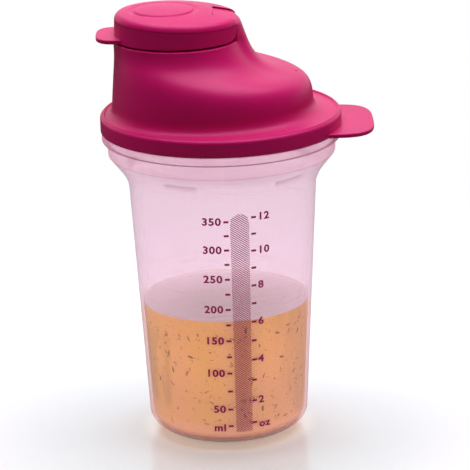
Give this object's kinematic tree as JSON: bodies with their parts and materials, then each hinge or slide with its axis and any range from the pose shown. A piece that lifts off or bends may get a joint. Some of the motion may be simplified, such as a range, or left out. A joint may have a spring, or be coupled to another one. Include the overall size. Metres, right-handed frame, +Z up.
{
  "type": "salad dressing shaker bottle",
  "caption": "Tapered translucent dressing shaker with printed volume scales, a drop-in mixing wheel and a press-on lid with an off-centre spout and hinged flip cap.",
  "frame": {"origin": "centre of the bottle's foot, on the surface that it stands on", "axes": "+Z up along the bottle's axis; +X towards the lid's pull tab, with the spout and the cap's lift tab at -X; -Y is the side with the printed scales"},
  "size_m": [0.1116, 0.0982, 0.1788],
  "materials": {
    "clear_plastic": "translucent lilac-tinted polypropylene, smooth with a soft gloss",
    "lid_plastic": "opaque raspberry pink plastic, fine satin texture",
    "scale_ink": "maroon screen print on the wall of the bottle",
    "dressing": "creamy orange dressing with flecks of herbs, seen through the wall",
    "herbs": "chopped dried herbs in the dressing"
  },
  "bodies": {
    "bottle": {"bottle": "clear_plastic"},
    "wheel": {"mixing_wheel": "clear_plastic"},
    "lid": {"lid": "lid_plastic"},
    "cap": {"spout_cap": "lid_plastic"}
  },
  "joints": [
    {"name": "lid_lift", "type": "slide", "parent": "bottle", "child": "lid", "axis": [0, 0, 1], "range_m": [0, 0.07]},
    {"name": "wheel_lift", "type": "slide", "parent": "bottle", "child": "wheel", "axis": [0, 0, 1], "range_m": [0, 0.035]},
    {"name": "cap_hinge", "type": "hinge", "parent": "lid", "child": "cap", "pos_m": [0.00424, 0, 0.1699], "axis": [0, 1, 0], "range_deg": [0, 100]}
  ],
  "couplings": [
    {"joint": "wheel_lift", "follows": "lid_lift", "ratio": 0.5}
  ]
}
